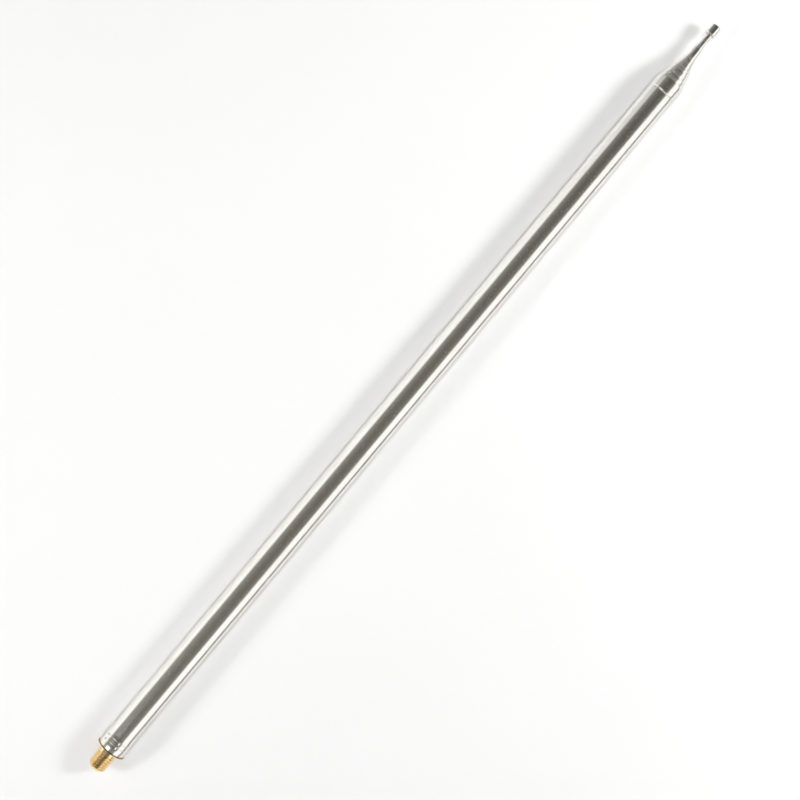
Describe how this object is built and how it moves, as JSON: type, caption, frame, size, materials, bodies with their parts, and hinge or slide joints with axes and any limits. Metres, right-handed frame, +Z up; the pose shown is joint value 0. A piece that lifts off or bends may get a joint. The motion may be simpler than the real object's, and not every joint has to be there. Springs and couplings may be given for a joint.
{
  "type": "telescopic whip antenna",
  "caption": "Telescopic metal whip antenna shown pushed in, with nested swaged tubes, a small round tip cap and a short male threaded brass stud at its base.",
  "frame": {"origin": "on the antenna's axis, in the plane of the seat around the stud's root, which is also the outer tube's end", "axes": "+X along the antenna towards its tip, -X out of the threaded stud, +Z up when the antenna lies on a table"},
  "size_m": [0.5114, 0.0164, 0.0164],
  "materials": {
    "polished_steel": "polished stainless steel with fine lengthwise draw marks",
    "turned_brass": "bright turned brass",
    "spring_bronze": "rolled phosphor bronze strip",
    "plated_cap": "bright nickel or chrome plating on turned metal"
  },
  "bodies": {
    "outer_tube_body": {"outer_tube": "polished_steel", "base_stud": "turned_brass"},
    "section_2_body": {"tube_2": "polished_steel", "stop_collar_2": "turned_brass", "contact_spring_2": "spring_bronze"},
    "section_3_body": {"tube_3": "polished_steel", "stop_collar_3": "turned_brass", "contact_spring_3": "spring_bronze"},
    "section_4_body": {"tube_4": "polished_steel", "stop_collar_4": "turned_brass", "contact_spring_4": "spring_bronze"},
    "section_5_body": {"tube_5": "polished_steel", "stop_collar_5": "turned_brass", "contact_spring_5": "spring_bronze"},
    "section_6_body": {"tube_6": "polished_steel", "stop_collar_6": "turned_brass", "contact_spring_6": "spring_bronze"},
    "section_7_body": {"tube_7": "polished_steel", "stop_collar_7": "turned_brass", "contact_spring_7": "spring_bronze"},
    "section_8_body": {"tip_rod": "polished_steel", "stop_collar_8": "turned_brass", "contact_spring_8": "spring_bronze", "tip_cap": "plated_cap"}
  },
  "joints": [
    {"name": "section_2_slide", "type": "slide", "parent": "outer_tube_body", "child": "section_2_body", "axis": [1, 0, 0], "range_m": [0, 0.4182]},
    {"name": "section_3_slide", "type": "slide", "parent": "section_2_body", "child": "section_3_body", "axis": [1, 0, 0], "range_m": [0, 0.4294]},
    {"name": "section_4_slide", "type": "slide", "parent": "section_3_body", "child": "section_4_body", "axis": [1, 0, 0], "range_m": [0, 0.433]},
    {"name": "section_5_slide", "type": "slide", "parent": "section_4_body", "child": "section_5_body", "axis": [1, 0, 0], "range_m": [0, 0.4348]},
    {"name": "section_6_slide", "type": "slide", "parent": "section_5_body", "child": "section_6_body", "axis": [1, 0, 0], "range_m": [0, 0.4381]},
    {"name": "section_7_slide", "type": "slide", "parent": "section_6_body", "child": "section_7_body", "axis": [1, 0, 0], "range_m": [0, 0.4416]},
    {"name": "section_8_slide", "type": "slide", "parent": "section_7_body", "child": "section_8_body", "axis": [1, 0, 0], "range_m": [0, 0.4492]}
  ]
}
